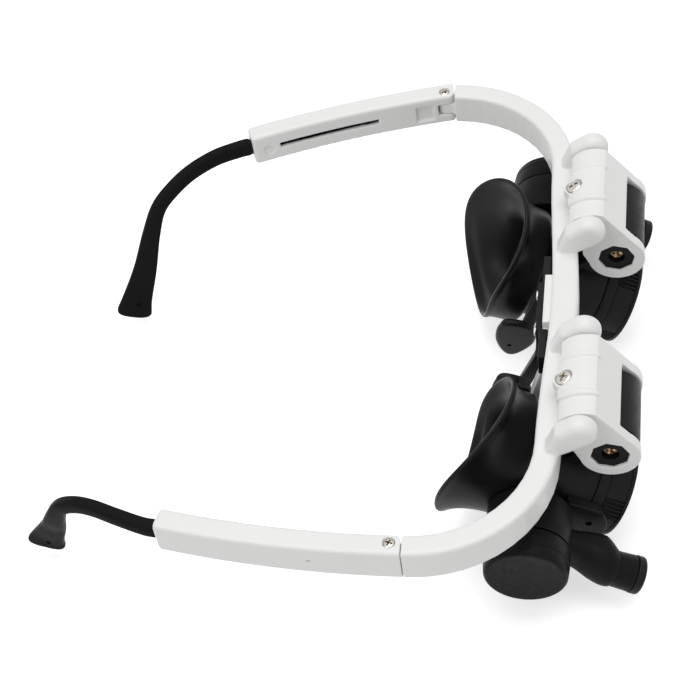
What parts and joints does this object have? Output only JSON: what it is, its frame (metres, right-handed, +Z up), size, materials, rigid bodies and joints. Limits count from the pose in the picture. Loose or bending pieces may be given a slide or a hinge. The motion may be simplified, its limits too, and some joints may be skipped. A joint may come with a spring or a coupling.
{
  "type": "lighted headband magnifier",
  "caption": "Spectacle-style headband magnifier: a white frame with folding temples carries two black flip-up loupes, each with a rubber eyecup and a swivelling side lamp.",
  "frame": {"origin": "midway between the two temple hinge pins, level with the top of the front bar", "axes": "+X towards the wearer's left, +Y towards the back of the head, +Z up"},
  "size_m": [0.1593, 0.1602, 0.0571],
  "materials": {
    "white_plastic": "satin white moulded plastic",
    "black_plastic": "matte black moulded plastic",
    "black_rubber": "soft black rubber",
    "nickel_steel": "bright nickel plate",
    "brass": "plain brass",
    "lens_glass": "polished and coated",
    "led_plastic": "clear lamp body",
    "cell_steel": "plated steel can"
  },
  "bodies": {
    "frame": {"front_bar": "white_plastic", "nose_plate": "white_plastic", "nose_bridge": "black_plastic", "nose_pads": "black_rubber", "nose_screws": "nickel_steel", "left_bracket": "white_plastic", "right_bracket": "white_plastic", "bracket_screws": "nickel_steel", "end_plugs": "black_plastic", "pivot_screws": "brass", "friction_washers": "nickel_steel"},
    "left_temple": {"left_temple": "white_plastic", "left_hinge_screw": "nickel_steel"},
    "left_tip": {"left_slide_bar": "black_plastic", "left_tip": "black_rubber"},
    "left_loupe": {"left_roller": "black_plastic", "left_barrel": "black_plastic", "left_eyecup": "black_rubber", "left_eyepiece_lens": "lens_glass", "left_eyepiece_retainer": "black_plastic", "left_lamp_pivot": "nickel_steel"},
    "left_lens_ring": {"left_lens_ring": "black_plastic", "left_objective_lens": "lens_glass", "left_lens_retainer": "black_plastic"},
    "left_lamp": {"left_lamp_housing": "black_plastic", "left_lamp_bezel": "black_plastic", "left_led": "led_plastic", "left_contact_spring": "nickel_steel", "left_cells": "cell_steel"},
    "left_cap": {"left_battery_cap": "black_plastic"},
    "right_temple": {"right_temple": "white_plastic", "right_hinge_screw": "nickel_steel"},
    "right_tip": {"right_slide_bar": "black_plastic", "right_tip": "black_rubber"},
    "right_loupe": {"right_roller": "black_plastic", "right_barrel": "black_plastic", "right_eyecup": "black_rubber", "right_eyepiece_lens": "lens_glass", "right_eyepiece_retainer": "black_plastic", "right_lamp_pivot": "nickel_steel"},
    "right_lens_ring": {"right_lens_ring": "black_plastic", "right_objective_lens": "lens_glass", "right_lens_retainer": "black_plastic"},
    "right_lamp": {"right_lamp_housing": "black_plastic", "right_lamp_bezel": "black_plastic", "right_led": "led_plastic", "right_contact_spring": "nickel_steel", "right_cells": "cell_steel"},
    "right_cap": {"right_battery_cap": "black_plastic"}
  },
  "joints": [
    {"name": "left_temple_fold", "type": "hinge", "parent": "frame", "child": "left_temple", "pos_m": [0.076, 0, 0], "axis": [0, 0, 1], "range_deg": [-12.5, 57.5]},
    {"name": "left_tip_slide", "type": "slide", "parent": "left_temple", "child": "left_tip", "axis": [-0.3436, 0.9391, 0], "range_m": [0, 0.024]},
    {"name": "left_loupe_flip", "type": "hinge", "parent": "frame", "child": "left_loupe", "pos_m": [0.032, -0.0488, -0.0078], "axis": [-1, 0, 0], "range_deg": [-5, 105]},
    {"name": "left_ring_turn", "type": "hinge", "parent": "left_loupe", "child": "left_lens_ring", "pos_m": [0.032, -0.03832, -0.03028], "axis": [0, 0.9063, 0.4226], "continuous": true},
    {"name": "left_lamp_swivel", "type": "hinge", "parent": "left_loupe", "child": "left_lamp", "pos_m": [0.032, -0.02935, -0.02609], "axis": [-1, 0, 0], "range_deg": [-25, 25]},
    {"name": "left_cap_turn", "type": "hinge", "parent": "left_lamp", "child": "left_cap", "pos_m": [0.032, -0.02935, -0.02609], "axis": [1, 0, 0], "range_deg": [0, 30]},
    {"name": "right_temple_fold", "type": "hinge", "parent": "frame", "child": "right_temple", "pos_m": [-0.076, 0, 0], "axis": [0, 0, 1], "range_deg": [-70, 0]},
    {"name": "right_tip_slide", "type": "slide", "parent": "right_temple", "child": "right_tip", "axis": [0.1322, 0.9912, 0], "range_m": [0, 0.024]},
    {"name": "right_loupe_flip", "type": "hinge", "parent": "frame", "child": "right_loupe", "pos_m": [-0.032, -0.0488, -0.0078], "axis": [-1, 0, 0], "range_deg": [-5, 105]},
    {"name": "right_ring_turn", "type": "hinge", "parent": "right_loupe", "child": "right_lens_ring", "pos_m": [-0.032, -0.03832, -0.03028], "axis": [0, 0.9063, 0.4226], "continuous": true},
    {"name": "right_lamp_swivel", "type": "hinge", "parent": "right_loupe", "child": "right_lamp", "pos_m": [-0.032, -0.02935, -0.02609], "axis": [-1, 0, 0], "range_deg": [-25, 25]},
    {"name": "right_cap_turn", "type": "hinge", "parent": "right_lamp", "child": "right_cap", "pos_m": [-0.032, -0.02935, -0.02609], "axis": [-1, 0, 0], "range_deg": [0, 30]}
  ]
}
